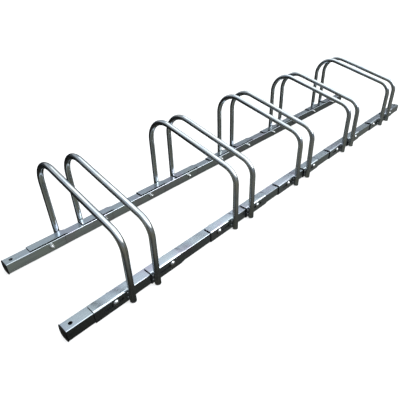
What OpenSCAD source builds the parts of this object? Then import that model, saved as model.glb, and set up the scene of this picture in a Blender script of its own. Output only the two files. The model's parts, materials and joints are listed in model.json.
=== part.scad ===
// Floor bike rack with sloping tube hoops on two telescoping rails.
// X runs along the rails, Y from the near rail to the far rail, Z up. The origin is on the
// floor, at the middle of the rack.

/* [Hoops] */
// Distance between the two legs of a hoop, centre to centre
hoop_w = 321; // [280:1:400]
// Outer diameter of the hoop tube
hoop_d = 15; // [14:0.5:22]
// Wall of the hoop tube
hoop_wall = 1.2; // [0.8:0.1:2.5]
// Height at which the near leg would meet the sloping bar
near_corner_z = 168; // [140:1:200]
// Height at which the far leg would meet the sloping bar
far_corner_z = 257; // [230:1:320]
// Bend radius at the low corner, on the tube's centre line
near_bend_r = 45; // [30:1:60]
// Bend radius at the high corner, on the tube's centre line
far_bend_r = 65; // [40:1:80]
// Height of the leg ends above the floor
leg_lift = 3; // [0:0.5:6]
// How much lower the second hoop of a pair stands than the first
second_drop = 3.5; // [0:0.5:6]

/* [Spacing] */
// Distance between the two hoops of a pair, centre to centre
pair_gap = 69; // [60:1:90]
// Distance from the first place to the second
pitch_1 = 341; // [290:1:420]
// Distance from the second place to the third
pitch_2 = 305; // [290:1:420]
// Distance from the third place to the fourth
pitch_3 = 323; // [290:1:420]
// Distance from the fourth place to the fifth
pitch_4 = 350; // [290:1:420]
// Length of rail to the left of the first hoop
start_tail = 145; // [130:1:240]
// Length of rail to the right of the last hoop
end_tail = 157; // [130:1:240]

/* [Rail tube] */
// Outside width and height of the square rail tube
tube_size = 27; // [22:0.5:32]
// Wall of the rail tube
tube_wall = 1.2; // [0.8:0.1:2]
// Outer corner radius of the rail tube
tube_round = 1.5; // [1:0.1:3]
// Distance between the end of a tube and the tube of the next piece
tube_gap = 0.5; // [0.3:0.1:8]
// Diameter of the floor screw holes in the end tubes
floor_hole_d = 9; // [5:0.5:12]
// Distance of a floor screw hole from the end of its tube
floor_hole_inset = 16; // [14:0.5:30]

/* [Channel] */
// Length of the open channel of a rail piece
channel_len = 90; // [80:1:110]
// Sheet thickness of the channel
channel_wall = 2; // [1.2:0.1:2.5]
// Outer corner radius of the channel
channel_round = 4.5; // [3:0.1:5.5]
// Distance of the flange edges from the inner face of the tube
flange_setback = 3.5; // [1:0.1:8]
// Play between tube and channel at the web and the lower flange
slide_gap = 0.3; // [0.2:0.05:1]
// Play between tube and channel under the upper flange
top_gap = 1.2; // [0.3:0.1:2]
// Length of the neck where the channel narrows to the tube
neck_len = 14; // [8:1:30]
// Channel on the left of the first leg of a pair
first_lead = 86; // [76:1:88]
// Channel on the left of the second leg of a pair
second_lead = 10; // [10:1:14]

/* [Slot and bolt] */
// Distance from the channel's left end to the first bolt place in the slot
slot_start = 24; // [22:1:30]
// Distance between the first and the last bolt place in the slot
slot_travel = 42; // [20:1:44]
// Height of the slot
slot_h = 7; // [6.6:0.1:9]
// Height of the bolts over the middle of the tube
bolt_rise = 2.5; // [0:0.5:4]
// Diameter of the bolt
bolt_d = 6; // [5:0.5:6]
// Diameter of the bolt's domed head
head_d = 16; // [13:0.5:18]
// Height of the bolt's domed head
head_h = 4.2; // [2:0.1:5]
// Play of the bolt in the holes of the tube, on the radius
bolt_play = 0.2; // [0.1:0.05:0.5]
// Bolt thread that stands out of the nut
bolt_end = 3; // [1:0.5:8]
// Width of the nut across its flats
nut_flats = 10; // [8:0.5:11]
// Height of the nut with its flange
nut_h = 6; // [4:0.5:8]
// Diameter of the nut's flange
nut_flange_d = 14.2; // [12:0.1:18]
// Thickness of the nut's flange
nut_flange_h = 1.2; // [0.8:0.1:2]
// Play of the thread in the nut, on the radius
thread_play = 0.05; // [0.02:0.01:0.1]

/* [Welds] */
// Radius of a weld bead
bead_r = 2.4; // [1.5:0.1:3]
// Straight length of a weld bead
bead_len = 5; // [2:0.5:8]
// Middle of the lower beads above the floor
low_bead_z = 9.5; // [9:0.5:12]
// Middle of the upper beads above the floor
high_bead_z = 22; // [19:0.5:23]
// Distance of a bead from the middle of its leg, along the rail
bead_x = 5.4; // [5:0.1:6]
// Gap between a leg and the channel that the beads bridge
leg_gap = 0.2; // [0.05:0.05:0.5]

/* [End caps] */
// Height of the cap's flange past the tube on each side
cap_rim = 0.8; // [0:0.1:1.4]
// Thickness of the cap's flange at its edge
cap_edge = 2; // [1:0.1:4]
// Height of the flange's dome over its edge
cap_dome = 1.5; // [0.5:0.1:3]
// Length of the plug inside the tube
plug_len = 8; // [4:0.5:8.5]
// Wall of the plug
plug_wall = 2; // [1:0.1:3]
// Play between plug and tube
plug_gap = 0.15; // [0.05:0.05:0.4]

/* [Hidden] */
$fn = 48;
// Overrun of a cut past the face that it opens
cut = 1;
// Thickness of the two end slices of a neck
neck_slice = 0.5;
// Loss of tube radius in a bend
bend_thin = 0.03;
// Overlap of a straight length and a bend
bend_lap = 0.5;
corner_fn = 24;
pitches = [pitch_1, pitch_2, pitch_3, pitch_4];
hoops = 2 * len(pitches) + 2;
last = hoops - 1;

// How far along its slot each bolt is clamped, from 0 at the left end to 1 at the right end
bolt_shares = [0.64, 0.95, 0.19, 0.62, 0.67, 0.95, 0.71, 0.95, 0.17, 0.95];

function sum_to(v, n) = n <= 0 ? 0 : v[n - 1] + sum_to(v, n - 1);
function is_second(k) = k % 2 == 1;
first_to_last = sum_to(pitches, len(pitches)) + pair_gap;
rack_mid = (first_to_last + end_tail - start_tail) / 2;
rail_left = -start_tail - rack_mid;
rail_right = first_to_last + end_tail - rack_mid;
function hoop_x(k) = sum_to(pitches, floor(k / 2)) + (is_second(k) ? pair_gap : 0) - rack_mid;
function channel_start(k) = hoop_x(k) - (is_second(k) ? second_lead : first_lead);
function channel_end(k) = channel_start(k) + channel_len;
function tube_end(k) = k < last ? channel_end(k + 1) - tube_gap : rail_right;
function bolt_x(k) = channel_start(k) + slot_start + slot_travel * bolt_shares[k];

// Places across the rack, for the near rail with its outer side at negative Y
web_y = -(hoop_w / 2 - hoop_d / 2 - leg_gap);
tube_y = web_y + channel_wall + slide_gap;
tube_in_y = tube_y + tube_size;
channel_w = channel_wall + slide_gap + tube_size - flange_setback;
channel_h = 2 * channel_wall + slide_gap + tube_size + top_gap;
channel_in_round = tube_round + slide_gap;
tube_z = channel_wall + slide_gap;
tube_in = tube_size - 2 * tube_wall;
tube_in_round = max(tube_round - tube_wall, tube_wall / 5);
tube_mid_z = tube_z + tube_size / 2;
bolt_z = tube_mid_z + bolt_rise;
slot_end = slot_start + slot_travel;

// The sloping bar of a hoop and its two bends
slope = atan((far_corner_z - near_corner_z) / hoop_w);
near_turn = 90 - slope;
far_turn = 90 + slope;
near_centre = [near_bend_r - hoop_w / 2, near_corner_z - near_bend_r * tan(near_turn / 2)];
far_centre = [hoop_w / 2 - far_bend_r, far_corner_z - far_bend_r * tan(far_turn / 2)];
bar_start = near_centre + near_bend_r * [cos(far_turn), sin(far_turn)];
bar_end = far_centre + far_bend_r * [cos(far_turn), sin(far_turn)];

// Colours as the photograph shows them
zinc = "#9aa5ad";
rail_zinc = "#8b97a3";
bolt_zinc = "#c9ced2";
nut_zinc = "#b9bfc4";
cap_black = "#17181a";

// A rectangle with round corners, one corner of its box at the origin
module rounded_rect(w, h, r) {
    translate([r, 0]) square([w - 2 * r, h]);
    translate([0, r]) square([w, h - 2 * r]);
    for (x = [r, w - r], y = [r, h - r])
        translate([x, y]) circle(r, $fn = corner_fn);
}

// Turns a drawing whose X is width and Y is height into a bar along X
module bar_along_x(x, len) {
    translate([x, 0, 0]) rotate([90, 0, 90]) linear_extrude(len) children();
}

// Shows the near rail's piece, or its mirror image on the far rail
module on_rail(far) {
    mirror([0, far ? 1 : 0, 0]) children();
}

// A round bar across the rail, from its outer end inwards
module across(x, y, len, d) {
    translate([x, y, bolt_z]) rotate([-90, 0, 0]) cylinder(h = len, d = d);
}

module tube_outline() {
    translate([tube_y, tube_z]) rounded_rect(tube_size, tube_size, tube_round);
}

module tube_hollow() {
    translate([tube_y + tube_wall, tube_z + tube_wall]) rounded_rect(tube_in, tube_in, tube_in_round);
}

// Holes through the outer and inner wall for the bolt of the joint to the right
module bolt_hole(k) {
    across(bolt_x(k), tube_y - cut, tube_size + 2 * cut, bolt_d + 2 * bolt_play);
}

// Holes through the upper and lower wall for a floor screw
module floor_hole(x) {
    translate([x, tube_y + tube_size / 2, tube_z - cut])
        cylinder(h = tube_size + 2 * cut, d = floor_hole_d);
}

module channel_outside() {
    intersection() {
        translate([web_y, 0]) rounded_rect(2 * channel_w, channel_h, channel_round);
        translate([web_y, 0]) square([channel_w, channel_h]);
    }
}

module channel_inside() {
    translate([web_y + channel_wall, channel_wall])
        rounded_rect(2 * channel_w, channel_h - 2 * channel_wall, channel_in_round);
}

// The neck's small end lies on the tube and stops at the flange edge
module neck_tip() {
    intersection() {
        tube_outline();
        translate([tube_y, tube_z]) square([tube_size - flange_setback, tube_size]);
    }
}

// Where the channel narrows and is pressed onto the tube
module neck(k) {
    hull() {
        bar_along_x(channel_end(k), neck_slice) channel_outside();
        bar_along_x(channel_end(k) + neck_len - neck_slice, neck_slice) neck_tip();
    }
}

// The bolt slides along this slot in the channel's web
module slot(k) {
    x = channel_start(k) + slot_start;
    across(x, web_y - cut, channel_wall + 2 * cut, slot_h);
    across(x + slot_travel, web_y - cut, channel_wall + 2 * cut, slot_h);
    translate([x, web_y - cut, bolt_z - slot_h / 2])
        cube([slot_travel, channel_wall + 2 * cut, slot_h]);
}

// One rail piece: open channel on the left, neck, square tube on the right
module rail_piece(k) {
    x = channel_end(k);
    difference() {
        union() {
            bar_along_x(channel_start(k), channel_len) difference() {
                channel_outside();
                channel_inside();
            }
            neck(k);
            bar_along_x(x, tube_end(k) - x) tube_outline();
        }
        bar_along_x(x - cut, tube_end(k) - x + 2 * cut) tube_hollow();
        slot(k);
        if (k < last) bolt_hole(k + 1);
        else floor_hole(rail_right - floor_hole_inset);
    }
}

module start_tube() {
    x = channel_end(0) - tube_gap;
    difference() {
        bar_along_x(rail_left, x - rail_left) tube_outline();
        bar_along_x(rail_left - cut, x - rail_left + 2 * cut) tube_hollow();
        bolt_hole(0);
        floor_hole(rail_left + floor_hole_inset);
    }
}

// A straight length of tube in the hoop's own plane, from a point along a direction
module straight(from, angle, len, d) {
    translate(from) rotate([0, 90, angle]) cylinder(h = len, d = d);
}

// A bend is a little thinner than the tube, and the straight lengths reach into it
module bend(centre, angle, turn, r, d) {
    translate(centre) rotate(angle)
        rotate_extrude(angle = turn) translate([r, 0]) circle(d = d - 2 * bend_thin);
}

// The path of a first hoop in a round section, with its legs from a height upwards
module hoop_sweep(d, leg_z) {
    rotate([90, 0, 90]) {
        straight([-hoop_w / 2, leg_z], 90, near_centre[1] - leg_z + bend_lap, d);
        straight([hoop_w / 2, leg_z], 90, far_centre[1] - leg_z + bend_lap, d);
        bend(near_centre, far_turn, near_turn, near_bend_r, d);
        bend(far_centre, 0, far_turn, far_bend_r, d);
        translate(bar_start) rotate(slope)
            straight([-bend_lap, 0], 0, norm(bar_end - bar_start) + 2 * bend_lap, d);
    }
}

module bead_profile() {
    square([bead_r, bead_len / 2]);
    translate([0, bead_len / 2]) intersection() {
        circle(bead_r);
        square(bead_r);
    }
}

// A short weld bead between a leg and the flat face of the channel
module bead(x, z) {
    reach = bead_len / 2 + bead_r + cut;
    intersection() {
        translate([x, web_y - leg_gap, z]) rotate_extrude() {
            bead_profile();
            mirror([0, 1]) bead_profile();
        }
        translate([x - reach, web_y - reach, z - reach]) cube([2 * reach, reach, 2 * reach]);
    }
}

// The inside of the leg is kept free of the beads
module hoop(k) {
    drop = is_second(k) ? second_drop : 0;
    color(zinc) translate([hoop_x(k), 0, 0]) {
        translate([0, 0, -drop]) difference() {
            hoop_sweep(hoop_d, leg_lift + drop);
            hoop_sweep(hoop_d - 2 * hoop_wall, leg_lift + drop - cut);
        }
        for (far = [false, true], side = [-1, 1], z = [low_bead_z, high_bead_z])
            on_rail(far) difference() {
                bead(side * bead_x, z);
                translate([0, -hoop_w / 2, 0]) cylinder(h = near_centre[1], d = hoop_d - hoop_wall);
            }
    }
}

// Domed head, square neck in the slot and a shank that passes the tube and the nut
module bolt(k) {
    x = bolt_x(k);
    head_y = web_y - slide_gap;
    dome_r = (pow(head_d / 2, 2) + pow(head_h, 2)) / (2 * head_h);
    intersection() {
        translate([x, head_y - head_h + dome_r, bolt_z]) sphere(dome_r, $fn = 2 * $fn);
        across(x, head_y - head_h - cut, head_h + cut, head_d);
    }
    translate([x - bolt_d / 2, head_y, bolt_z - bolt_d / 2])
        cube([bolt_d, tube_y - head_y, bolt_d]);
    across(x, head_y, tube_in_y + nut_h + bolt_end - head_y, bolt_d);
}

module nut(k) {
    x = bolt_x(k);
    difference() {
        union() {
            across(x, tube_in_y, nut_flange_h, nut_flange_d);
            translate([x, tube_in_y, bolt_z]) rotate([-90, 0, 0])
                cylinder(h = nut_h, d = nut_flats / cos(30), $fn = 6);
        }
        across(x, tube_in_y - cut, nut_h + 2 * cut, bolt_d + 2 * thread_play);
    }
}

module bolts(k) {
    color(bolt_zinc) for (far = [false, true]) on_rail(far) bolt(k);
}

module nuts(k) {
    color(nut_zinc) for (far = [false, true]) on_rail(far) nut(k);
}

// Plug with a domed flange, drawn for the left end of the near rail
module cap_shape() {
    flange = tube_size + 2 * cap_rim;
    plug = tube_in - 2 * plug_gap;
    plug_y = tube_y + tube_wall + plug_gap;
    plug_z = tube_z + tube_wall + plug_gap;
    dome_r = (pow(flange, 2) / 2 + pow(cap_dome, 2)) / (2 * cap_dome);
    intersection() {
        bar_along_x(-cap_edge - cap_dome, cap_edge + cap_dome)
            translate([tube_y - cap_rim, tube_z - cap_rim])
                rounded_rect(flange, flange, tube_round + cap_rim);
        translate([dome_r - cap_edge - cap_dome, tube_y + tube_size / 2, tube_mid_z])
            sphere(dome_r, $fn = 4 * $fn);
    }
    difference() {
        bar_along_x(0, plug_len) translate([plug_y, plug_z]) rounded_rect(plug, plug, tube_in_round);
        bar_along_x(0, plug_len + cut) translate([plug_y + plug_wall, plug_z + plug_wall])
            square(plug - 2 * plug_wall);
    }
}

module left_cap() {
    translate([rail_left, 0, 0]) cap_shape();
}

module right_cap() {
    translate([rail_right, 0, 0]) mirror([1, 0, 0]) cap_shape();
}

color(rail_zinc) start_tube();  // near_start_tube
color(rail_zinc) on_rail(true) start_tube();  // far_start_tube
for (k = [0:last]) {
    hoop(k);
    color(rail_zinc) rail_piece(k);
    color(rail_zinc) on_rail(true) rail_piece(k);
    bolts(k);
    nuts(k);
}
color(cap_black) left_cap();  // near_left_cap
color(cap_black) on_rail(true) left_cap();  // far_left_cap
color(cap_black) right_cap();  // near_right_cap
color(cap_black) on_rail(true) right_cap();  // far_right_cap
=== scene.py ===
# %% [markdown]
# # A floor bike rack, dressed for its picture
#
# The rack is made of zinc-plated steel. Ten bent tube hoops stand in pairs on two rails, and each
# rail is a chain of pieces that slide into each other and are clamped by bolts. The solids come
# from the CAD model, and they are right in size and place. This lesson keeps them as the frame and
# gives the rack what steel, zinc and moulded plastic show up close: smooth bends, weld beads with
# ripples, threads, softened edges and the finish of each metal.

# %% Load the frame
import json
import math

import bmesh
import bpy
from mathutils import Matrix, Vector


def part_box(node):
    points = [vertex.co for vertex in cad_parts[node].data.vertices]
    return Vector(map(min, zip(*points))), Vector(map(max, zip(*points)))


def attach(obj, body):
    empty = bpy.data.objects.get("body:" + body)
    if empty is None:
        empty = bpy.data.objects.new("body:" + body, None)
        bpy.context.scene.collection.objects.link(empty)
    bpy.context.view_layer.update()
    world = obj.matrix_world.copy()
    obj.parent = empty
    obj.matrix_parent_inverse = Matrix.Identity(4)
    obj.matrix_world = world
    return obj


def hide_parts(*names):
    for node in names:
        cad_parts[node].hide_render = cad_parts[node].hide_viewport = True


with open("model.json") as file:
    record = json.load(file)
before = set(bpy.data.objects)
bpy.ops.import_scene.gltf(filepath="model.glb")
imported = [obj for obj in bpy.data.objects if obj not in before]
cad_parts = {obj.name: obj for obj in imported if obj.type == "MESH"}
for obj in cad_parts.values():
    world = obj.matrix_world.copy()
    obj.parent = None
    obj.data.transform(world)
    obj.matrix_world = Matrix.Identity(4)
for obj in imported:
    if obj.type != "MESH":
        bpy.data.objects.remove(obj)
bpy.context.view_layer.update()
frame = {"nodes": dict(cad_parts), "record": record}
nodes = frame["nodes"]
MM = 0.001
SAME = 0.01 * MM
HOOPS = 10
SIDES = ("near", "far")

# %% [markdown]
# ## The camera
#
# The camera stands about half a metre in front of the left end of the near rail and 0.6 m above
# the floor. From so near, the first hoops look large and the last ones small. Its place and turn
# were solved from straight edges and from hoops that are alike, which is why they aren't round
# numbers. The three rows below are the directions of the camera's right side, its top and its back.

# %% Set the camera
SENSOR_MM = 36.0
LENS_MM = 32.977
CAMERA_PLACE = (-0.98230, -0.65285, 0.59149)
CAMERA_RIGHT = (0.68983681, -0.72313985, -0.03455323)
CAMERA_TOP = (0.40548816, 0.34639384, 0.84592592)
CAMERA_BACK = (-0.59975372, -0.59756177, 0.53217987)

camera_data = bpy.data.cameras.new("camera")
camera_data.sensor_width = SENSOR_MM
camera_data.lens = LENS_MM
camera = bpy.data.objects.new("camera", camera_data)
bpy.context.scene.collection.objects.link(camera)
turn = Matrix((CAMERA_RIGHT, CAMERA_TOP, CAMERA_BACK)).transposed()
camera.matrix_world = Matrix.Translation(CAMERA_PLACE) @ turn.to_4x4()
bpy.context.scene.camera = camera
print("camera looks along", tuple(-Vector(CAMERA_BACK)))

# %% [markdown]
# ## Nodes and colours
#
# Every finish below is built from nodes. Colours are picked as hex values, as in a paint program.
# Those are sRGB, and the shader wants linear light, so one function turns them. Another adds a
# node, gives it its settings and draws its links. A colour ramp keeps its stops in a list of its
# own, so they are a setting with a special name. One could also click the nodes together by hand,
# but code can be read, compared and run again.


# %% Helpers for colours and nodes
def linear(hex_colour):
    """A colour such as #8899aa as linear red, green, blue and alpha."""
    parts = [int(hex_colour[i:i + 2], 16) / 255 for i in (1, 3, 5)]
    return [c / 12.92 if c <= 0.04045 else ((c + 0.055) / 1.055) ** 2.4 for c in parts] + [1.0]


def add_node(tree, kind, settings=None, links=None):
    """Adds a node. Settings are its own values, its inputs or its stops; links feed inputs."""
    made = tree.nodes.new(kind)
    for name, value in (settings or {}).items():
        if name == "stops":
            ramp = made.color_ramp
            ramp.elements.remove(ramp.elements[-1])
            for i, (place, colour) in enumerate(value):
                stop = ramp.elements[0] if i == 0 else ramp.elements.new(place)
                stop.position = place
                stop.color = linear(colour)
        elif isinstance(name, str) and hasattr(made, name):
            setattr(made, name, value)
        else:
            made.inputs[name].default_value = value
    for name, source in (links or {}).items():
        tree.links.new(source, made.inputs[name])
    return made


print("mid grey #808080 is", round(linear("#808080")[0], 3), "in linear light")

# %% [markdown]
# ## The studio
#
# Metal shows its surroundings, so the light is as much a part of the finish as the shader is. By
# what its metal mirrors, the rack was shot under a wide bright ceiling, on a dark floor that was
# later cut away to white. The sky here is a soft dome whose tones run along a tilted axis: white
# high up and towards the near side, grey at middle height, and dark low beyond the far rail. Near
# the ground it is weaker as well. That gives each sloping bar a dark lower edge and a white line
# above it. A photographed panorama would do this too, but a ramp with ten stops is easy to tune.
# The camera itself sees plain white behind the floor.

# %% Light the sky
SKY_AXIS = (0.35, -0.25, 0.9)
SKY_FROM, SKY_TO = -0.2, 1.0
SKY_STRENGTH = 2.4
SKY_TONES = [(0.125, "#3e4247"), (0.25, "#9b9ea2"), (0.367, "#96999e"), (0.483, "#878d92"),
             (0.542, "#878d92"), (0.6, "#868c92"), (0.633, "#9299a0"), (0.667, "#a0a7ae"),
             (0.733, "#f8fcff"), (1.0, "#f8fcff")]
LOW_SKY = {"From Min": 0.28, "From Max": 0.56, "To Min": 0.42, "To Max": 1.0}

scene = bpy.context.scene
scene.view_settings.view_transform = "Standard"
world = bpy.data.worlds.new("soft_dome")
scene.world = world
world.use_nodes = True
dome = world.node_tree
dome.nodes.clear()
direction = add_node(dome, "ShaderNodeTexCoord")
height = add_node(dome, "ShaderNodeVectorMath", {"operation": "DOT_PRODUCT", 1: SKY_AXIS},
                  {0: direction.outputs["Generated"]})
level = add_node(dome, "ShaderNodeMapRange", {"From Min": SKY_FROM, "From Max": SKY_TO},
                 {0: height.outputs["Value"]})
shade = add_node(dome, "ShaderNodeValToRGB", {"stops": SKY_TONES}, {0: level.outputs[0]})
upward = add_node(dome, "ShaderNodeSeparateXYZ", links={0: direction.outputs["Generated"]})
low = add_node(dome, "ShaderNodeMapRange", LOW_SKY, {0: upward.outputs["Z"]})
strength = add_node(dome, "ShaderNodeMath", {"operation": "MULTIPLY", 1: SKY_STRENGTH},
                    {0: low.outputs[0]})
glow = add_node(dome, "ShaderNodeBackground",
                links={"Color": shade.outputs["Color"], "Strength": strength.outputs[0]})
backdrop = add_node(dome, "ShaderNodeBackground", {"Color": linear("#ffffff"), "Strength": 1.0})
seen = add_node(dome, "ShaderNodeLightPath")
either = add_node(dome, "ShaderNodeMixShader",
                  links={0: seen.outputs["Is Camera Ray"], 1: glow.outputs[0],
                         2: backdrop.outputs[0]})
add_node(dome, "ShaderNodeOutputWorld", links={"Surface": either.outputs[0]})
print("sky of", len(SKY_TONES), "tones")

# %% [markdown]
# A row of windows beside the rack draws the white line on the rounded edges of the near rail. An
# area lamp stands for it, as wide and as high as the windows. A point lamp would leave only a dot.

# %% Hang the window row
WINDOWS_AT, WINDOWS_AIM = (1.6, -2.4, 2.0), (1.6, 0.0, 0.0)
WINDOWS_SIZE, WINDOWS_WATTS = (2.6, 2.0), 70


def soft_light(name, place, aim, size, power):
    """A large lamp at a place, turned to an aim, with its width, its height and its watts."""
    lamp = bpy.data.lights.new(name, "AREA")
    lamp.shape = "RECTANGLE"
    lamp.size, lamp.size_y = size
    lamp.energy = power
    holder = bpy.data.objects.new(name, lamp)
    scene.collection.objects.link(holder)
    turned_to = (Vector(aim) - Vector(place)).to_track_quat("-Z", "Y")
    holder.matrix_world = Matrix.Translation(place) @ turned_to.to_matrix().to_4x4()
    return holder


windows = soft_light("window_row", WINDOWS_AT, WINDOWS_AIM, WINDOWS_SIZE, WINDOWS_WATTS)
print("window row at", tuple(round(c, 2) for c in windows.matrix_world.translation))

# %% [markdown]
# ## The floor
#
# The floor is a stage and not part of the rack. To the eye it is pale, with a faint soft shadow.
# What the metal sees in it is a glow painted for reflected rays only. It stands for the dim floor
# of the studio, which was cut away later, and it carries the rack's shadow painted in as a dark
# band just in front of the near rail, darkest at the left end. It is dark beyond the far rail as
# well. A light path node tells the two apart, so one plane does the work of two.

# %% Lay the floor
FLOOR_SIZE = 60.0
FLOOR_GREY, FLOOR_GLOW = "#a8a8a8", 0.66
ACROSS_FROM, ACROSS_TO = -0.5, 0.5
ALONG_FROM, ALONG_TO = -0.85, 0.4
# The dark stops at 0.28 and 0.345, just in front of the near rail, are the rack's shadow painted
# into the floor that the metal reflects. At the right end that band is lighter.
LEFT_REFLECTED_FLOOR_AND_SHADOW = [(0.0, "#7e7c70"), (0.2, "#75736a"), (0.28, "#2c2c27"), (0.345, "#242420"),
              (0.40, "#66675f"), (0.6, "#84867c"), (0.7, "#32322c"), (0.85, "#1c1c19"),
              (1.0, "#0c0c0b")]
RIGHT_REFLECTED_FLOOR_AND_SHADOW = [(0.0, "#84837c"), (0.345, "#6e7069"), (0.40, "#72746e"), (0.6, "#565853"),
               (0.7, "#32322c"), (0.85, "#1c1c19"), (1.0, "#0c0c0b")]

bpy.ops.object.select_all(action="DESELECT")
bpy.ops.mesh.primitive_plane_add(size=FLOOR_SIZE, location=(0, 0, 0))
floor = bpy.context.object
floor.name = "pale_floor"
paint = bpy.data.materials.new("pale_floor_paint")
paint.use_nodes = True
tree = paint.node_tree
tree.nodes.clear()
ray = add_node(tree, "ShaderNodeLightPath")
matt = add_node(tree, "ShaderNodeBsdfDiffuse", {"Color": linear(FLOOR_GREY)})
lift = add_node(tree, "ShaderNodeEmission", {"Color": linear("#ffffff"), "Strength": FLOOR_GLOW})
pale = add_node(tree, "ShaderNodeAddShader", links={0: matt.outputs[0], 1: lift.outputs[0]})
spot = add_node(tree, "ShaderNodeTexCoord")
across = add_node(tree, "ShaderNodeSeparateXYZ", links={0: spot.outputs["Object"]})
share = add_node(tree, "ShaderNodeMapRange", {"From Min": ACROSS_FROM, "From Max": ACROSS_TO},
                 {0: across.outputs["Y"]})
left_floor_shade, right_floor_shade = (
    add_node(tree, "ShaderNodeValToRGB", {"stops": tones}, {0: share.outputs[0]})
    for tones in (LEFT_REFLECTED_FLOOR_AND_SHADOW, RIGHT_REFLECTED_FLOOR_AND_SHADOW))
along = add_node(tree, "ShaderNodeMapRange", {"From Min": ALONG_FROM, "From Max": ALONG_TO},
                 {0: across.outputs["X"]})
# The glow for reflected rays is painted reflection and painted shadow, mixed from the left end to
# the right.
floor_shadow_tone = add_node(tree, "ShaderNodeMix", {"data_type": "RGBA"},
                    {0: along.outputs[0], 6: left_floor_shade.outputs["Color"],
                     7: right_floor_shade.outputs["Color"]})
reflected_floor_glow = add_node(tree, "ShaderNodeEmission", links={"Color": floor_shadow_tone.outputs[2]})
mixed = add_node(tree, "ShaderNodeMixShader",
                 links={0: ray.outputs["Is Glossy Ray"], 1: pale.outputs[0], 2: reflected_floor_glow.outputs[0]})
add_node(tree, "ShaderNodeOutputMaterial", links={"Surface": mixed.outputs[0]})
floor.data.materials.append(paint)
print("floor of", FLOOR_SIZE, "m with", len(tree.nodes), "nodes in its paint")

# %% [markdown]
# ## Working by hand, in code
#
# Each piece is modelled as one would with the mouse: add a primitive, go to edit mode, extrude,
# spin or inset. An operator acts on whatever is selected, so a few small helpers keep that in
# order. They make an object the only selected one, start a piece, pick parts of it by a test, and
# end it with its place moved into the mesh.


# %% Helpers for editing
def only(piece):
    """Makes a piece the active object, with nothing else selected."""
    bpy.ops.object.select_all(action="DESELECT")
    piece.select_set(True)
    bpy.context.view_layer.objects.active = piece


def start_piece(name, add, **settings):
    """Adds a primitive with nothing else selected, names it and opens it in edit mode."""
    bpy.ops.object.select_all(action="DESELECT")
    add(**settings)
    piece = bpy.context.object
    piece.name = name
    bpy.ops.object.mode_set(mode="EDIT")
    bpy.ops.mesh.select_all(action="SELECT")
    return piece


def pick(piece, kind, test):
    """In edit mode, selects only the vertices, edges or faces that pass the test."""
    bpy.ops.mesh.select_mode(type={"verts": "VERT", "edges": "EDGE", "faces": "FACE"}[kind])
    drawn = bmesh.from_edit_mesh(piece.data)
    for group in (drawn.verts, drawn.edges, drawn.faces):
        for part in group:
            part.select = False
    for part in getattr(drawn, kind):
        if test(part):
            part.select_set(True)
    drawn.select_flush_mode()
    bmesh.update_edit_mesh(piece.data)


def end_piece(piece):
    """Leaves edit mode and moves the place into the mesh, so the object sits at the origin."""
    bpy.ops.object.mode_set(mode="OBJECT")
    only(piece)
    bpy.ops.object.transform_apply(location=True, rotation=True, scale=True)


# %% [markdown]
# Four more helpers work on whole pieces. Hoops, bolts and caps come in sets, so one of each is
# modelled and copied, and a copy for the far rail is mirrored. Joining, modifiers and smooth
# shading close the list.


# %% Helpers for whole pieces
def copy_piece(piece, name, shift=(0, 0, 0), flip=False):
    """A copy with its own mesh, moved along, and mirrored to the far rail where flip is set."""
    made = bpy.data.objects.new(name, piece.data.copy())
    scene.collection.objects.link(made)
    if flip:
        made.data.transform(Matrix.Diagonal((1, -1, 1, 1)))
        made.data.flip_normals()
    made.data.transform(Matrix.Translation(shift))
    return made


def join(pieces, name):
    """Joins pieces into the first one and gives the result its name."""
    bpy.ops.object.select_all(action="DESELECT")
    for piece in pieces:
        piece.select_set(True)
    bpy.context.view_layer.objects.active = pieces[0]
    if len(pieces) > 1:
        bpy.ops.object.join()
    pieces[0].name = name
    return pieces[0]


def apply_modifier(piece, name, kind, settings):
    """Adds a modifier, sets it and applies it."""
    only(piece)
    modifier = piece.modifiers.new(name, kind)
    for key, value in settings.items():
        setattr(modifier, key, value)
    bpy.ops.object.modifier_apply(modifier=name)


def smooth(piece, degrees):
    """Smooth shading, with edges sharper than the angle left sharp."""
    only(piece)
    bpy.ops.object.shade_smooth_by_angle(angle=math.radians(degrees))


# %% [markdown]
# ## The bent tube
#
# A hoop is one length of 15 mm round tube, bent twice on a tube bender. That is how it is modelled
# here too. A ring stands at the foot of the low leg and is extruded up. It is spun around the
# centre of the first bend, extruded along the sloping bar, spun around the second bend and extruded
# down to the other foot. A curve with a bevel would be quicker, but its rings crowd in the bends,
# and spinning puts a ring at every step of the bender.

# %% The path of the tube, in millimetres across the rack and up
HOOP_WIDTH = 321
TUBE_R = 7.5
TUBE_WALL = 1.2
LEG_LIFT = 3
SECOND_DROP = 3.5
NEAR_BEND, FAR_BEND = 45, 65
NEAR_CORNER_Z, FAR_CORNER_Z = 168, 257
RING = 32

SLOPE = math.atan((FAR_CORNER_Z - NEAR_CORNER_Z) / HOOP_WIDTH)
NEAR_TURN = math.pi / 2 - SLOPE
FAR_TURN = math.pi / 2 + SLOPE
near_hub = Vector((-HOOP_WIDTH / 2 + NEAR_BEND,
                   NEAR_CORNER_Z - NEAR_BEND * math.tan(NEAR_TURN / 2)))
far_hub = Vector((HOOP_WIDTH / 2 - FAR_BEND, FAR_CORNER_Z - FAR_BEND * math.tan(FAR_TURN / 2)))
bar_way = Vector((math.cos(SLOPE), math.sin(SLOPE)))
bar_side = Vector((-bar_way.y, bar_way.x))
bar_start = near_hub + NEAR_BEND * bar_side
bar_end = far_hub + FAR_BEND * bar_side
bar_long = (bar_end - bar_start).length
print("bar of", round(bar_long, 1), "mm at", round(math.degrees(SLOPE), 1), "degrees")

# %% [markdown]
# Two helpers do what the bender does. One pushes the ring on in a straight line, and one turns it
# about a hub in steps of about 5 degrees. The spin leaves doubled points where it starts, so they
# are merged at the end.

# %% Bend the tube
BEND_STEP = math.radians(5)


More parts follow.
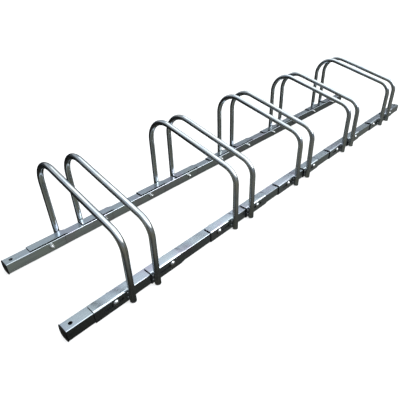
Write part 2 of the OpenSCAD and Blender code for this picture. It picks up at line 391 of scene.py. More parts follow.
def rise(y, z):
    """Extrudes what is selected by millimetres across the rack and up."""
    bpy.ops.mesh.extrude_region_move(TRANSFORM_OT_translate={"value": (0, y * MM, z * MM)})


def turn_about(hub, angle):
    """Spins what is selected around a hub, in even steps."""
    bpy.ops.mesh.spin(steps=round(angle / BEND_STEP), angle=angle, axis=(1, 0, 0),
                      center=(0, hub.x * MM, hub.y * MM))


first_tube = start_piece("first_tube", bpy.ops.mesh.primitive_circle_add, vertices=RING,
                         radius=TUBE_R * MM, location=(0, -HOOP_WIDTH / 2 * MM, LEG_LIFT * MM))
rise(0, near_hub.y - LEG_LIFT)
turn_about(near_hub, NEAR_TURN)
rise(*(bar_end - bar_start))
turn_about(far_hub, FAR_TURN)
rise(0, LEG_LIFT - far_hub.y)
bpy.ops.mesh.select_all(action="SELECT")
bpy.ops.mesh.remove_doubles(threshold=SAME)
bpy.ops.mesh.normals_make_consistent(inside=False)
end_piece(first_tube)
feet = [v.co.y for v in first_tube.data.vertices if abs(v.co.z - LEG_LIFT * MM) < SAME]
print("tube has", len(first_tube.data.vertices), "points, feet at y", min(feet), max(feet))

# %% [markdown]
# The second hoop of a pair stands 3.5 mm lower, with the same bends and shorter legs. A copy of the
# tube is moved down and cut off with a bisect at the height of the feet. Then both get their wall,
# which grows inwards, so the outside stays 15 mm.

# %% Cut the lower tube and give both their wall
second_tube = copy_piece(first_tube, "second_tube", (0, 0, -SECOND_DROP * MM))
only(second_tube)
bpy.ops.object.mode_set(mode="EDIT")
bpy.ops.mesh.select_all(action="SELECT")
bpy.ops.mesh.bisect(plane_co=(0, 0, LEG_LIFT * MM), plane_no=(0, 0, 1), clear_inner=True)
bpy.ops.object.mode_set(mode="OBJECT")
for tube in (first_tube, second_tube):
    apply_modifier(tube, "wall", "SOLIDIFY", {"thickness": TUBE_WALL * MM, "offset": -1.0})
    print(tube.name, "starts at z", round(min(v.co.z for v in tube.data.vertices), 5))

# %% [markdown]
# Drawing and plating leave fine lines that follow the tube round its bends. Object coordinates
# can't follow a bend, so each point of the mesh stores where it would be if the tube were straight:
# across, towards the inside of the bend, and along. The finish reads that attribute.


# %% Store the straightened place of each point
def straightened(point, drop):
    """Where a point of a hoop lies on the straight tube that it was bent from, in metres."""
    flat = Vector((point.y / MM, point.z / MM + drop))
    leg_end = near_hub.y
    bar_at = leg_end + NEAR_BEND * NEAR_TURN
    bend_at = bar_at + bar_long
    along = (flat - bar_start).dot(bar_way)
    if 0 <= along <= bar_long:
        inside, along = -(flat - bar_start).dot(bar_side), bar_at + along
    elif along < 0 and flat.y < leg_end:
        inside, along = flat.x + HOOP_WIDTH / 2, flat.y
    elif along < 0:
        arm = flat - near_hub
        inside, along = NEAR_BEND - arm.length, leg_end + NEAR_BEND * math.atan2(arm.y, -arm.x)
    elif flat.y > far_hub.y:
        arm = flat - far_hub
        turned_by = FAR_TURN - math.atan2(arm.y, arm.x)
        inside, along = FAR_BEND - arm.length, bend_at + FAR_BEND * turned_by
    else:
        inside = HOOP_WIDTH / 2 - flat.x
        along = bend_at + FAR_BEND * FAR_TURN + far_hub.y - flat.y
    return point.x, inside * MM, along * MM


for tube, drop in ((first_tube, 0), (second_tube, SECOND_DROP)):
    layer = tube.data.attributes.new("straight_tube", "FLOAT_VECTOR", "POINT")
    places = [c for v in tube.data.vertices for c in straightened(v.co, drop)]
    layer.data.foreach_set("vector", places)
    smooth(tube, 50)
    print(tube.name, "is", round(max(places[2::3]), 3), "m long when straight")

# %% [markdown]
# ## Weld beads
#
# Each leg is held by four short beads laid with the welding gun, two on each side of the leg. A
# bead is a row of small overlapping drops, and their edges show as ripples. One bead is modelled:
# a ring is extruded step by step, and each ring is made a little wider or narrower than the last
# one. The half that would lie in the steel sheet is cut off.

# %% Model one weld bead
WEB_Y = -152.8
LEG_GAP = 0.2
BEAD_R = 2.35
BEAD_X = 5.4
BEAD_HEIGHTS = (9.5, 22)
BEAD_SIDES = 14
RIPPLES = (0.45, 0.78, 0.95, 0.86, 0.98, 0.88, 1.0, 0.89, 1.0, 0.88, 0.98, 0.86, 0.95, 0.78, 0.45)
BEAD_LONG = 9.4
WELD_DEPTH = 0.6
bead_step = BEAD_LONG / (len(RIPPLES) - 1)
bead = start_piece("weld_bead", bpy.ops.mesh.primitive_circle_add, vertices=BEAD_SIDES,
                   fill_type="NGON", radius=BEAD_R * RIPPLES[0] * MM,
                   location=(0, 0, -BEAD_LONG / 2 * MM))
for before, after in zip(RIPPLES, RIPPLES[1:]):
    bpy.ops.mesh.extrude_region_move(TRANSFORM_OT_translate={"value": (0, 0, bead_step * MM)})
    bpy.ops.transform.resize(value=(after / before, after / before, 1))
bpy.ops.mesh.select_all(action="SELECT")
bpy.ops.mesh.bisect(plane_co=(0, (LEG_GAP + WELD_DEPTH) * MM, 0), plane_no=(0, 1, 0), use_fill=True,
                    clear_outer=True)
bpy.ops.mesh.select_all(action="SELECT")
bpy.ops.mesh.normals_make_consistent(inside=False)
end_piece(bead)
smooth(bead, 60)
print("bead has", len(bead.data.polygons), "faces")

# %% [markdown]
# Now every pair of rail pieces gets its hoop, with the higher tube first in each pair. The place
# comes from the CAD node's box, so nothing is typed twice. Each hoop's straight place is moved on
# by more than its own length of stock, so no two hoops show the same lines. The eight beads are
# joined to one piece, because they will share a finish.

# %% Set a hoop with its eight beads on every pair of rail pieces
NEXT_STOCK = 1.7
hoop_pieces = []
for k in range(1, HOOPS + 1):
    low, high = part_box(f"hoop_{k}")
    at = (low.x + high.x) / 2
    tube = second_tube if k % 2 == 0 else first_tube
    steel = copy_piece(tube, f"hoop_{k}_tube", (at, 0, 0))
    for spot in steel.data.attributes["straight_tube"].data:
        spot.vector = spot.vector + Vector((0, 0, k * NEXT_STOCK))
    beads = []
    for flip in (False, True):
        for side in (-1, 1):
            for z in BEAD_HEIGHTS:
                shift = (at + side * BEAD_X * MM, 0, z * MM)
                one = copy_piece(bead, "bead", (0, (WEB_Y - LEG_GAP) * MM, 0))
                beads.append(copy_piece(one, "bead", shift, flip))
                bpy.data.objects.remove(one)
    welds = join(beads, f"hoop_{k}_welds")
    hoop_pieces.append((k, steel, welds))

# %% [markdown]
# ## Rails
#
# A rail piece is a strip of 2 mm sheet, rolled to a channel that is open to the inside and pressed
# onto a square tube at its neck. Its form is already right in the CAD model, but a CAD edge is
# perfectly sharp, and no real edge is. A copy of each solid has its triangles merged to clean
# faces, and its edges get a small bevel, which catches the light. The neck is left out, since its
# curved faces meet in many short edges that a bevel would tangle.

# %% Soften the rail pieces
EDGE_ROUND = 0.25
SHARP_EDGE = math.radians(50)
FLAT_ANGLE = math.radians(0.4)
CHANNEL_LEN, NECK_LEN, NECK_MARGIN = 90, 14, 0.2
rail_names = [f"{side}_start_tube" for side in SIDES]
rail_names += [f"{side}_rail_{k}" for side in SIDES for k in range(1, HOOPS + 1)]
rail_pieces = {}
for name in rail_names:
    piece = copy_piece(nodes[name], name + "_steel")
    rail_pieces[name] = piece
    neck_from = (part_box(name)[0].x / MM + CHANNEL_LEN - NECK_MARGIN) * MM
    neck_to = neck_from + (NECK_LEN + 2 * NECK_MARGIN) * MM if "rail" in name else neck_from
    only(piece)
    bpy.ops.object.mode_set(mode="EDIT")
    bpy.ops.mesh.select_all(action="SELECT")
    bpy.ops.mesh.remove_doubles(threshold=SAME / 2)
    bpy.ops.mesh.dissolve_limited(angle_limit=FLAT_ANGLE)
    pick(piece, "edges", lambda e: e.calc_face_angle(0) > SHARP_EDGE
         and not neck_from < (e.verts[0].co.x + e.verts[1].co.x) / 2 < neck_to)
    bpy.ops.mesh.bevel(offset=EDGE_ROUND * MM, segments=2, clamp_overlap=False)
    bpy.ops.object.mode_set(mode="OBJECT")
    smooth(piece, 30)
    apply_modifier(piece, "even_shading", "WEIGHTED_NORMAL", {"keep_sharp": True})
rail_faces = sum(len(piece.data.polygons) for piece in rail_pieces.values())
print("softened", len(rail_pieces), "rail pieces with", rail_faces, "faces")

# %% [markdown]
# ## Carriage bolts
#
# The bolt has a low domed head and a square neck that can't turn in the slot. The dome is the
# slice of a sphere that a bisect leaves, and the height of a dome and its radius give the sphere's
# radius. The neck is a cube with soft edges that goes a little into the head.

# %% Model the head and the neck of one bolt
HEAD_R, HEAD_H = 8, 4.2
HEAD_GAP = 0.3
HEAD_SEGMENTS, HEAD_RINGS = 40, 28
HEAD_ROUND, HEAD_SHARP = 0.35, math.radians(40)
NECK, NECK_ROUND, NECK_SINK = 6, 0.5, 0.6
BOLT_Z = 18.3
head_back_y = WEB_Y - HEAD_GAP
dome_r = (HEAD_R ** 2 + HEAD_H ** 2) / (2 * HEAD_H)
turned = (-math.pi / 2, 0, 0)

head = start_piece("bolt_head", bpy.ops.mesh.primitive_uv_sphere_add, segments=HEAD_SEGMENTS,
                   ring_count=HEAD_RINGS, radius=dome_r * MM, rotation=turned,
                   location=(0, (head_back_y - HEAD_H + dome_r) * MM, BOLT_Z * MM))
bpy.ops.mesh.bisect(plane_co=(0, head_back_y * MM, 0), plane_no=(0, 1, 0), use_fill=True,
                    clear_outer=True)
pick(head, "edges", lambda e: all(abs(v.co.length - dome_r * MM) < SAME for v in e.verts)
     and len(e.link_faces) == 2 and e.calc_face_angle(0) > HEAD_SHARP)
bpy.ops.mesh.bevel(offset=HEAD_ROUND * MM, segments=3)
end_piece(head)

neck = start_piece("bolt_neck", bpy.ops.mesh.primitive_cube_add, size=NECK * MM,
                   location=(0, (head_back_y + NECK / 2 - NECK_SINK) * MM, BOLT_Z * MM))
bpy.ops.mesh.bevel(offset=NECK_ROUND * MM, segments=2)
end_piece(neck)
print("head dome of", round(dome_r, 2), "mm radius with", len(head.data.polygons), "faces")

# %% [markdown]
# The thread is rolled, and it is a spiral. It is made from a tube of many rings: in each ring the
# radius rises and falls once around, and from ring to ring that wave moves on by its share of the
# pitch. A Screw modifier would make one too, but its two ends stay open. Threads that nobody can
# see, inside the tube and the nut, are left plain.

# %% Roll the thread
SHANK_R, SHANK_SINK = 3, 1
PITCH = 1.0
THREAD_DEPTH, CREST_FLAT = 0.55, 1.15
THREAD_RINGS, THREAD_SIDES = 6, 24
THREAD_IN_NUT = 1
TIP_LEN, TIP_SHARE = 0.6, 0.8
TUBE_IN_Y = -123.5
NUT_H = 6
BOLT_END = 3
root_r = SHANK_R - THREAD_DEPTH
shank_y = head_back_y + NECK - SHANK_SINK
tip_y = TUBE_IN_Y + NUT_H + BOLT_END
thread_start = TUBE_IN_Y + NUT_H - THREAD_IN_NUT
ring_step = PITCH / THREAD_RINGS
rings = round((tip_y - TIP_LEN - thread_start) / ring_step)
thread = start_piece("bolt_thread", bpy.ops.mesh.primitive_circle_add, vertices=THREAD_SIDES,
                     fill_type="NGON", radius=root_r * MM, rotation=turned,
                     location=(0, shank_y * MM, BOLT_Z * MM))
rise(thread_start - shank_y, 0)
for _ in range(rings):
    rise(ring_step, 0)
rise(TIP_LEN, 0)
bpy.ops.transform.resize(value=(TIP_SHARE, 1, TIP_SHARE))
bpy.ops.mesh.select_all(action="SELECT")
bpy.ops.mesh.normals_make_consistent(inside=False)
end_piece(thread)
for v in thread.data.vertices:
    if thread_start * MM - SAME < v.co.y < (tip_y - TIP_LEN - ring_step / 2) * MM:
        around = math.atan2(v.co.x, v.co.z - BOLT_Z * MM) / (2 * math.pi)
        wave = (around - v.co.y / MM / PITCH) % 1.0
        ridge = 1 - abs(2 * wave - 1)
        grow = 1 + THREAD_DEPTH / root_r * min(CREST_FLAT * ridge, 1)
        v.co.x *= grow
        v.co.z = BOLT_Z * MM + (v.co.z - BOLT_Z * MM) * grow
bolt = join([head, neck, thread], "carriage_bolt")
smooth(bolt, 35)
bolt_at = [round(v.co.y, 5) for v in bolt.data.vertices]
print("bolt from y", min(bolt_at), "to", max(bolt_at), "with", rings, "rings of thread")

# %% [markdown]
# ## Flange nuts
#
# The nut is a hexagon whose corners are turned off by a cone, on a round flange that stands for
# its washer. Turning the corners off gives the curved lines at the top of each side. Here a turned
# blank and the hexagon are intersected with a Boolean, just as the bar stock is turned in the
# workshop.

# %% Turn the hexagon of one nut
NUT_FLATS, NUT_SEAT = 10, 0.2
NUT_TURNED, ROUND_SIDES = 0.9, 48
nut_corner = NUT_FLATS / math.sqrt(3)
hexagon = start_piece("nut", bpy.ops.mesh.primitive_cylinder_add, vertices=6,
                      radius=nut_corner * MM, depth=(NUT_H - NUT_SEAT) * MM, rotation=turned,
                      location=(0, (TUBE_IN_Y + (NUT_SEAT + NUT_H) / 2) * MM, BOLT_Z * MM))
end_piece(hexagon)
blank = start_piece("nut_blank", bpy.ops.mesh.primitive_cylinder_add, vertices=ROUND_SIDES,
                    radius=nut_corner * MM, depth=2 * NUT_H * MM, rotation=turned,
                    location=(0, TUBE_IN_Y * MM, BOLT_Z * MM))
end_y = (TUBE_IN_Y + NUT_H) * MM
pick(blank, "edges", lambda e: all((blank.matrix_world @ v.co).y > end_y - SAME for v in e.verts))
bpy.ops.mesh.bevel(offset=NUT_TURNED * MM, segments=1)
end_piece(blank)
apply_modifier(hexagon, "turn_corners", "BOOLEAN", {"operation": "INTERSECT", "object": blank})
bpy.data.objects.remove(blank)
print("hexagon of", len(hexagon.data.polygons), "faces, corners at", round(nut_corner, 2), "mm")

# %% [markdown]
# The flange lies on the tube and has a rounded rim. After joining, one Bevel modifier softens every
# edge of the nut that is sharper than 28 degrees, as the barrel does in which it is plated.

# %% Give the nut its flange
FLANGE_R, FLANGE_H, FLANGE_ROUND = 7.1, 1.2, 0.5
NUT_SOFT = {"width": 0.12 * MM, "segments": 2, "limit_method": "ANGLE",
            "angle_limit": math.radians(28)}
SQUARE_EDGE = math.radians(60)
flange = start_piece("nut_flange", bpy.ops.mesh.primitive_cylinder_add, vertices=ROUND_SIDES,
                     radius=FLANGE_R * MM, depth=FLANGE_H * MM, rotation=turned,
                     location=(0, (TUBE_IN_Y + FLANGE_H / 2) * MM, BOLT_Z * MM))
mid_flange = (TUBE_IN_Y + FLANGE_H / 2) * MM
pick(flange, "edges", lambda e: e.calc_face_angle(0) > SQUARE_EDGE
     and all((flange.matrix_world @ v.co).y > mid_flange for v in e.verts))
bpy.ops.mesh.bevel(offset=FLANGE_ROUND * MM, segments=3)
end_piece(flange)
nut = join([hexagon, flange], "flange_nut")
apply_modifier(nut, "soft_edges", "BEVEL", NUT_SOFT)
smooth(nut, 30)
print("nut has", len(nut.data.polygons), "faces")

# %% [markdown]
# Each telescoping joint has a bolt and a nut in the near rail and the same two, mirrored, in the
# far rail. The CAD model keeps the two bolts in one node and the two nuts in another, so each pair
# becomes one piece here as well.

# %% Put bolts and nuts in their joints
fastener_pieces = []
for k in range(1, HOOPS + 1):
    low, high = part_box(f"bolts_{k}")
    at = (low.x + high.x) / 2
    for model, word in ((bolt, "bolts"), (nut, "nuts")):
        pair = [copy_piece(model, "one", (at, 0, 0))]
        pair.append(copy_piece(pair[0], "one", flip=True))
        fastener_pieces.append((k, word, join(pair, f"{word}_{k}_hardware")))
print("placed", len(fastener_pieces), "pieces of hardware")

# %% [markdown]
# ## End caps
#
# The caps are injection moulded from polyethylene: a square plug with a domed flange that covers
# the cut end of the tube. A plate with round corners is cut by a very large sphere, which leaves a
# dome of the right height. Pulling up the middle of the plate with soft selection would be
# quicker, but the dome's height would be a guess.

# %% Model one cap
TUBE_Y, TUBE_SIZE, TUBE_Z = -150.5, 27, 2.3
CAP_EDGE, CAP_DOME, CAP_RIM, CAP_CORNER, CAP_ROUND = 2, 1.5, 0.8, 2.3, 0.5
BALL_SEGMENTS, BALL_RINGS = 48, 128
flange_side = TUBE_SIZE + 2 * CAP_RIM
cap_thick = CAP_EDGE + CAP_DOME
cap_dome_r = (flange_side ** 2 / 2 + CAP_DOME ** 2) / (2 * CAP_DOME)
rail_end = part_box("near_start_tube")[0].x / MM
mid_y, mid_z = TUBE_Y + TUBE_SIZE / 2, TUBE_Z + TUBE_SIZE / 2
cap = start_piece("end_cap", bpy.ops.mesh.primitive_cube_add, size=1,
                  scale=(cap_thick * MM, flange_side * MM, flange_side * MM),
                  location=((rail_end - cap_thick / 2) * MM, mid_y * MM, mid_z * MM))
end_piece(cap)
bpy.ops.object.mode_set(mode="EDIT")
pick(cap, "edges", lambda e: abs(e.verts[0].co.x - e.verts[1].co.x) > MM)
bpy.ops.mesh.bevel(offset=CAP_CORNER * MM, segments=6)
bpy.ops.object.mode_set(mode="OBJECT")
ball_x = rail_end - cap_thick + cap_dome_r
ball = start_piece("cap_ball", bpy.ops.mesh.primitive_uv_sphere_add, segments=BALL_SEGMENTS,
                   ring_count=BALL_RINGS, radius=cap_dome_r * MM, rotation=(0, math.pi / 2, 0),
                   location=(ball_x * MM, mid_y * MM, mid_z * MM))
end_piece(ball)
apply_modifier(cap, "dome", "BOOLEAN", {"operation": "INTERSECT", "object": ball})
bpy.data.objects.remove(ball)
bpy.ops.object.mode_set(mode="EDIT")
pick(cap, "edges", lambda e: e.calc_face_angle(0) > SQUARE_EDGE)
bpy.ops.mesh.bevel(offset=CAP_ROUND * MM, segments=3)
bpy.ops.object.mode_set(mode="OBJECT")
print("cap", round(flange_side, 1), "mm wide, cut by a ball of", round(cap_dome_r, 1), "mm radius")

# %% [markdown]
# The plug is a cube that is hollowed from behind: its face is inset by the wall and pushed in,
# which leaves a thin floor. It fits the tube with a small gap, since moulded parts shrink a
# little.

# %% Mould the plug
PLUG_GAP, PLUG_WALL, PLUG_LEN = 0.15, 2, 8
PLUG_FLOOR, PLUG_SINK, PLUG_ROUND = 0.7, 0.5, 0.3
RAIL_WALL = 1.2
plug_side = TUBE_SIZE - 2 * (RAIL_WALL + PLUG_GAP)
plug = start_piece("cap_plug", bpy.ops.mesh.primitive_cube_add, size=1,
                   scale=(PLUG_LEN * MM, plug_side * MM, plug_side * MM),
                   location=((rail_end + PLUG_LEN / 2 - PLUG_SINK) * MM, mid_y * MM, mid_z * MM))
end_piece(plug)
bpy.ops.object.mode_set(mode="EDIT")
pick(plug, "faces", lambda f: f.normal.x > 0.9)
bpy.ops.mesh.inset(thickness=PLUG_WALL * MM)
push = ((PLUG_FLOOR - PLUG_LEN) * MM, 0, 0)
bpy.ops.mesh.extrude_region_move(TRANSFORM_OT_translate={"value": push})
bpy.ops.object.mode_set(mode="OBJECT")
apply_modifier(plug, "soft_edges", "BEVEL", {"width": PLUG_ROUND * MM, "segments": 2})
cap = join([cap, plug], "end_cap")
smooth(cap, 40)
cap_at = [round(v.co.x, 5) for v in cap.data.vertices]
print("cap from x", min(cap_at), "to", max(cap_at))

# %% [markdown]
# One cap was modelled for the left end of the near rail. The others are copies, mirrored to the far
# rail, to the right end, or to both.

# %% Push a cap into each rail end
cap_pieces = {}
far_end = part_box(f"near_rail_{HOOPS}")[1].x
for side in SIDES:
    for end in ("left", "right"):
        name = f"{side}_{end}_cap"
        made = copy_piece(cap, name + "_moulded", flip=(side == "far"))
        if end == "right":
            made.data.transform(Matrix.Diagonal((-1, 1, 1, 1)))
            made.data.flip_normals()
            made.data.transform(Matrix.Translation((rail_end * MM + far_end, 0, 0)))
        cap_pieces[name] = made
print("pushed in", len(cap_pieces), "caps")

# %% [markdown]
# ## The finishes
#
# All the steel is electroplated with zinc and dipped in a clear blue passivation, which turns it a
# light grey with a faint cast of blue, violet or straw, from the film's thickness. Under the zinc,
# the surface is what the mill and the bender left. A drawn tube has fine lines along it, and rolled
# sheet has a faint grain. Patterns are set in real sizes: a noise whose coordinates are multiplied
# by one over a size in metres has spots of that size.

# %% Helper for a finish
def new_finish(name, metallic):
    """A material with a Principled shader. Returns the material, its tree and the shader."""
    finish = bpy.data.materials.new(name)
    finish.use_nodes = True
    made = finish.node_tree.nodes["Principled BSDF"]
    made.inputs["Metallic"].default_value = metallic
    return finish, finish.node_tree, made


# %% [markdown]
# ### Bright zinc on drawn tube
#
# The lines of the draw run along the tube and are about a tenth of a millimetre wide. That is too
# fine to show here, so they are drawn 2 mm wide and 90 mm long. They change the roughness most, as
# on real tube, where they break a highlight into streaks. Larger clouds carry the cast of the film.
# The coordinates are those of the straightened tube, so the lines follow each bend.

# %% Zinc on the hoops
LINE_WIDE, LINE_LONG = 0.0020, 0.090
TUBE_CLOUD = 0.035
TUBE_CASTS = [(0.3, "#b0bac4"), (0.5, "#c3c9cc"), (0.68, "#c0c2be")]
TUBE_LINES = [(0.3, "#c9c9c7"), (0.55, "#ffffff")]
TUBE_GLOSS = {"From Min": 0.3, "From Max": 0.7, "To Min": 0.26, "To Max": 0.12}
tube_zinc, tree, shader = new_finish("bright_zinc_on_drawn_tube", 1.0)
place = add_node(tree, "ShaderNodeAttribute", {"attribute_name": "straight_tube"})
lines_at = add_node(tree, "ShaderNodeVectorMath",
                    {"operation": "MULTIPLY", 1: (1 / LINE_WIDE, 1 / LINE_WIDE, 1 / LINE_LONG)},
                    {0: place.outputs["Vector"]})
lines = add_node(tree, "ShaderNodeTexNoise", {"Scale": 1.0, "Detail": 3.0},
                 {0: lines_at.outputs[0]})
clouds = add_node(tree, "ShaderNodeTexNoise",
                  {"Scale": 1 / TUBE_CLOUD, "Detail": 4.0, "Roughness": 0.6},
                  {0: place.outputs["Vector"]})
cast = add_node(tree, "ShaderNodeValToRGB", {"stops": TUBE_CASTS}, {0: clouds.outputs["Fac"]})
worn = add_node(tree, "ShaderNodeValToRGB", {"stops": TUBE_LINES}, {0: lines.outputs["Fac"]})
tone = add_node(tree, "ShaderNodeMix", {"data_type": "RGBA", "blend_type": "MULTIPLY", 0: 1.0},
                {6: cast.outputs["Color"], 7: worn.outputs["Color"]})
tree.links.new(tone.outputs[2], shader.inputs["Base Color"])
gloss = add_node(tree, "ShaderNodeMapRange", TUBE_GLOSS, {0: lines.outputs["Fac"]})
tree.links.new(gloss.outputs[0], shader.inputs["Roughness"])
relief = add_node(tree, "ShaderNodeBump", {"Strength": 0.25, "Distance": 0.04 * MM},
                  {"Height": lines.outputs["Fac"]})
tree.links.new(relief.outputs[0], shader.inputs["Normal"])
print("made", tube_zinc.name, "with", len(tree.nodes), "nodes")

# %% [markdown]
# ### Zinc on rolled sheet and square tube
#
# The grain of rolled sheet runs along the rail. It is drawn 2 mm wide, coarser than it is, so that
# it shows. Wide soft clouds shift between blue and violet. A few thin rub marks, a little lighter
# than the rest, run along as well, since one piece slides in the next. The rail is straight, so
# plain object coordinates serve here.

# %% Zinc on the rails
GRAIN_WIDE, GRAIN_LONG = 0.0022, 0.075
RUB_WIDE, RUB_LONG = 0.0014, 0.16
RAIL_CLOUD = 0.06
RAIL_CASTS = [(0.32, "#bcbcc8"), (0.5, "#bec8d0"), (0.66, "#c2cccf")]
RAIL_GRAIN = [(0.3, "#ececee"), (0.6, "#ffffff")]
RAIL_RUBS, RUB_TONE = [(0.66, "#000000"), (0.72, "#343434")], "#d4d8da"
RAIL_GLOSS = {"From Min": 0.3, "From Max": 0.7, "To Min": 0.22, "To Max": 0.13}
rail_zinc, tree, shader = new_finish("zinc_on_rolled_sheet", 1.0)
place = add_node(tree, "ShaderNodeTexCoord")
grain_at = add_node(tree, "ShaderNodeVectorMath",
                    {"operation": "MULTIPLY", 1: (1 / GRAIN_LONG, 1 / GRAIN_WIDE, 1 / GRAIN_WIDE)},
                    {0: place.outputs["Object"]})
grain = add_node(tree, "ShaderNodeTexNoise", {"Scale": 1.0, "Detail": 3.0},
                 {0: grain_at.outputs[0]})
rub_at = add_node(tree, "ShaderNodeVectorMath",
                  {"operation": "MULTIPLY", 1: (1 / RUB_LONG, 1 / RUB_WIDE, 1 / RUB_WIDE)},
                  {0: place.outputs["Object"]})
rubs = add_node(tree, "ShaderNodeTexNoise", {"Scale": 1.0, "Detail": 1.0}, {0: rub_at.outputs[0]})
clouds = add_node(tree, "ShaderNodeTexNoise", {"Scale": 1 / RAIL_CLOUD, "Detail": 3.0},
                  {0: place.outputs["Object"]})
cast = add_node(tree, "ShaderNodeValToRGB", {"stops": RAIL_CASTS}, {0: clouds.outputs["Fac"]})
grey = add_node(tree, "ShaderNodeValToRGB", {"stops": RAIL_GRAIN}, {0: grain.outputs["Fac"]})
rubbed = add_node(tree, "ShaderNodeValToRGB", {"stops": RAIL_RUBS}, {0: rubs.outputs["Fac"]})
tone = add_node(tree, "ShaderNodeMix", {"data_type": "RGBA", "blend_type": "MULTIPLY", 0: 1.0},
                {6: cast.outputs["Color"], 7: grey.outputs["Color"]})
rub_tone = add_node(tree, "ShaderNodeMix", {"data_type": "RGBA", 7: linear(RUB_TONE)},
                    {0: rubbed.outputs["Color"], 6: tone.outputs[2]})
tree.links.new(rub_tone.outputs[2], shader.inputs["Base Color"])
gloss = add_node(tree, "ShaderNodeMapRange", RAIL_GLOSS, {0: grain.outputs["Fac"]})
tree.links.new(gloss.outputs[0], shader.inputs["Roughness"])
relief = add_node(tree, "ShaderNodeBump", {"Strength": 0.15, "Distance": 0.03 * MM},
                  {"Height": grain.outputs["Fac"]})
tree.links.new(relief.outputs[0], shader.inputs["Normal"])
print("made", rail_zinc.name, "with", len(tree.nodes), "nodes")

# %% [markdown]
# ### Sheared edges and painted shade
#
# The ends of the sheet and the slots are punched. A punched edge is half smooth and half torn, and
# little zinc reaches it, so it is dull and dark beside the bright faces. Its near black is also
# painted shade: it stands for the shadow in the gaps where one piece slides into the next and
# inside the slots, and it lies on the inner end walls of the channels too, which are plated zinc in
# shade. A painted line would look the same from one side only. A material on the cut faces holds
# from every side.

# %% Dull steel on cut edges, with painted shade
TEAR = 0.0009
CUT_EDGE_AND_SHADE_TONES = [(0.35, "#0a0a0b"), (0.7, "#1c1d1f")]
cut_steel_and_shade, tree, shader = new_finish("sheared_steel_edge_and_painted_shade", 0.8)
place = add_node(tree, "ShaderNodeTexCoord")
torn = add_node(tree, "ShaderNodeTexNoise", {"Scale": 1 / TEAR, "Detail": 4.0},
                {0: place.outputs["Object"]})
tone = add_node(tree, "ShaderNodeValToRGB", {"stops": CUT_EDGE_AND_SHADE_TONES}, {0: torn.outputs["Fac"]})
tree.links.new(tone.outputs["Color"], shader.inputs["Base Color"])
dull = add_node(tree, "ShaderNodeMapRange", {"To Min": 0.45, "To Max": 0.75},
                {0: torn.outputs["Fac"]})
tree.links.new(dull.outputs[0], shader.inputs["Roughness"])
relief = add_node(tree, "ShaderNodeBump", {"Strength": 0.6, "Distance": 0.2 * MM},
                  {"Height": torn.outputs["Fac"]})
tree.links.new(relief.outputs[0], shader.inputs["Normal"])
print("made", cut_steel_and_shade.name, "with", len(tree.nodes), "nodes")

# %% [markdown]
# ### Weld beads
#
# A weld is rough under its zinc, with specks of spatter. The cells of a Voronoi texture are as
# round as such specks, where a noise would give clouds.

# %% Zinc on welds
SPATTER = 0.0016
WELD_TONES, WELD_ROUGH = [(0.1, "#6d6f70"), (0.6, "#a9acad")], 0.38
weld_zinc, tree, shader = new_finish("zinc_over_weld", 1.0)
place = add_node(tree, "ShaderNodeTexCoord")
specks = add_node(tree, "ShaderNodeTexVoronoi", {"Scale": 1 / SPATTER},
                  {0: place.outputs["Object"]})
tone = add_node(tree, "ShaderNodeValToRGB", {"stops": WELD_TONES}, {0: specks.outputs["Distance"]})
tree.links.new(tone.outputs["Color"], shader.inputs["Base Color"])
shader.inputs["Roughness"].default_value = WELD_ROUGH
relief = add_node(tree, "ShaderNodeBump", {"Strength": 0.5, "Distance": 0.12 * MM},
                  {"Height": specks.outputs["Distance"]})
tree.links.new(relief.outputs[0], shader.inputs["Normal"])
print("made", weld_zinc.name, "with", len(tree.nodes), "nodes")

# %% [markdown]
# ### Bolts and nuts
#
# Small parts are plated in a barrel, where they tumble against each other, so they are frosted all
# over in spots of less than a millimetre. The bolts come out a little lighter than the nuts. A loop
# makes both finishes, because only their tones differ.

# %% Frosted zinc on bolts and nuts
TUMBLE = 0.0008
HARDWARE_TONES = (("bolts", [(0.3, "#a2a5a7"), (0.65, "#cfd2d3")]),
                  ("nuts", [(0.3, "#8f9192"), (0.65, "#b6b7b5")]))
hardware_finishes = {}
for word, tones in HARDWARE_TONES:
    barrel_zinc, tree, shader = new_finish(f"barrel_plated_zinc_on_{word}", 1.0)
    place = add_node(tree, "ShaderNodeTexCoord")
    frost = add_node(tree, "ShaderNodeTexNoise", {"Scale": 1 / TUMBLE, "Detail": 3.0},
                     {0: place.outputs["Object"]})
    tone = add_node(tree, "ShaderNodeValToRGB", {"stops": tones}, {0: frost.outputs["Fac"]})
    tree.links.new(tone.outputs["Color"], shader.inputs["Base Color"])
    haze = add_node(tree, "ShaderNodeMapRange", {"To Min": 0.18, "To Max": 0.32},
                    {0: frost.outputs["Fac"]})
    tree.links.new(haze.outputs[0], shader.inputs["Roughness"])
    relief = add_node(tree, "ShaderNodeBump", {"Strength": 0.3, "Distance": 0.06 * MM},
                      {"Height": frost.outputs["Fac"]})
    tree.links.new(relief.outputs[0], shader.inputs["Normal"])
    hardware_finishes[word] = barrel_zinc
    print("made", barrel_zinc.name, "with", len(tree.nodes), "nodes")

# %% [markdown]
# ### Black moulded polyethylene
#
# The mould of the caps is spark eroded, which leaves a fine grain of 0.4 mm. Polyethylene is waxy:
# it has a wide, weak sheen and no sharp reflections. A lower specular level gives that sheen, and
# the base colour stays near black.

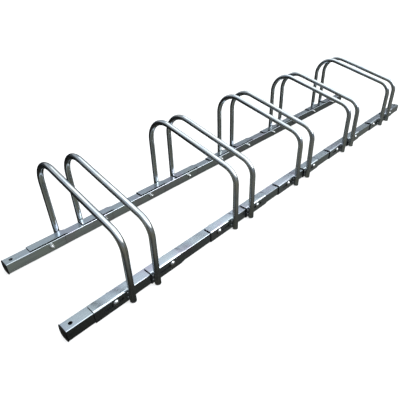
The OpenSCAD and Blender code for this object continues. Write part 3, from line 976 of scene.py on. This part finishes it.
# %% Plastic of the caps
MOULD_GRAIN = 0.0004
CAP_TONES, CAP_SPECULAR = [(0.3, "#020303"), (0.7, "#080909")], 0.25
cap_plastic, tree, shader = new_finish("black_moulded_polyethylene", 0.0)
shader.inputs["IOR"].default_value = 1.5
shader.inputs["Specular IOR Level"].default_value = CAP_SPECULAR
place = add_node(tree, "ShaderNodeTexCoord")
pits = add_node(tree, "ShaderNodeTexNoise", {"Scale": 1 / MOULD_GRAIN, "Detail": 2.0},
                {0: place.outputs["Object"]})
tone = add_node(tree, "ShaderNodeValToRGB", {"stops": CAP_TONES}, {0: pits.outputs["Fac"]})
tree.links.new(tone.outputs["Color"], shader.inputs["Base Color"])
wax = add_node(tree, "ShaderNodeMapRange", {"To Min": 0.42, "To Max": 0.62},
               {0: pits.outputs["Fac"]})
tree.links.new(wax.outputs[0], shader.inputs["Roughness"])
relief = add_node(tree, "ShaderNodeBump", {"Strength": 0.35, "Distance": 0.08 * MM},
                  {"Height": pits.outputs["Fac"]})
tree.links.new(relief.outputs[0], shader.inputs["Normal"])
print("made", cap_plastic.name, "with", len(tree.nodes), "nodes")

# %% [markdown]
# ## Putting it on the frame
#
# The rack can be set wider, and then each section slides with all that is welded or bolted to it.
# So every piece rides on the body of the CAD node that it stands for, and that node is hidden. The
# record says which node belongs to which body. Parenting by hand would do for one rack, but it
# would be lost when the model is built anew.

# %% Hand every piece to its body
bodies = frame["record"]["behaviour"]["bodies"]
body_of = {name: body for body, names in bodies.items() for name in names}


def hand_over(piece, node, slot, *finishes):
    """Gives a piece its finishes, lets it ride on its node's body and hides that node."""
    piece.data.materials.clear()
    for finish in finishes:
        piece.data.materials.append(finish)
    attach(piece, body_of[node])
    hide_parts(node)


for k, steel, welds in hoop_pieces:
    hand_over(steel, f"hoop_{k}", "hoop_zinc", tube_zinc)
    hand_over(welds, f"hoop_{k}", "hoop_zinc", weld_zinc)
for k, word, piece in fastener_pieces:
    hand_over(piece, f"{word}_{k}", "bolt_zinc" if word == "bolts" else "nut_zinc",
              hardware_finishes[word])
for name, piece in cap_pieces.items():
    hand_over(piece, name, "cap_plastic", cap_plastic)
for name, piece in rail_pieces.items():
    hand_over(piece, name, "rail_zinc", rail_zinc, cut_steel_and_shade)

# %% [markdown]
# The rails carry two finishes: zinc, and the near black of cut edges and painted shade. A face of a
# rail gets the second if it looks along the rail, as the ends of a tube or a sheet do and the inner
# end walls of a channel too, if it lies inside a slot, or if it is the edge of a flange. On the
# slot walls and in the gaps at the ends, that near black is painted shade. All three can be told
# from where the face is and which way it looks, so no face has to be picked by hand.

# %% Mark the cut and shaded faces of the rails
SHEET = 2
FLANGE_EDGE_Y = 127
SLOT_REACH = 4
ACROSS, ASLANT = 0.9, 0.5
SKIN, EDGE_REACH = 0.1, 0.3
cut_and_shaded_faces = 0
for name, piece in rail_pieces.items():
    has_channel = "rail" in name
    for face in piece.data.polygons:
        y, z = abs(face.center.y / MM), face.center.z / MM
        in_sheet = SKIN < -WEB_Y - y < SHEET - SKIN
        in_slot = in_sheet and abs(z - BOLT_Z) < SLOT_REACH and abs(face.normal.y) < ASLANT
        on_flange = abs(face.normal.y) > ACROSS and abs(y - FLANGE_EDGE_Y) < EDGE_REACH
        if abs(face.normal.x) > ACROSS or (has_channel and (in_slot or on_flange)):
            face.material_index = 1
            cut_and_shaded_faces += 1
print("marked", cut_and_shaded_faces, "cut faces")

# %% [markdown]
# Last, the six models that only served for copying are deleted. It has to be the size of the CAD
# model, because nothing may stand proud of it.

# %% Delete the models that served for copying
for model in (first_tube, second_tube, bead, bolt, nut, cap):
    bpy.data.objects.remove(model)
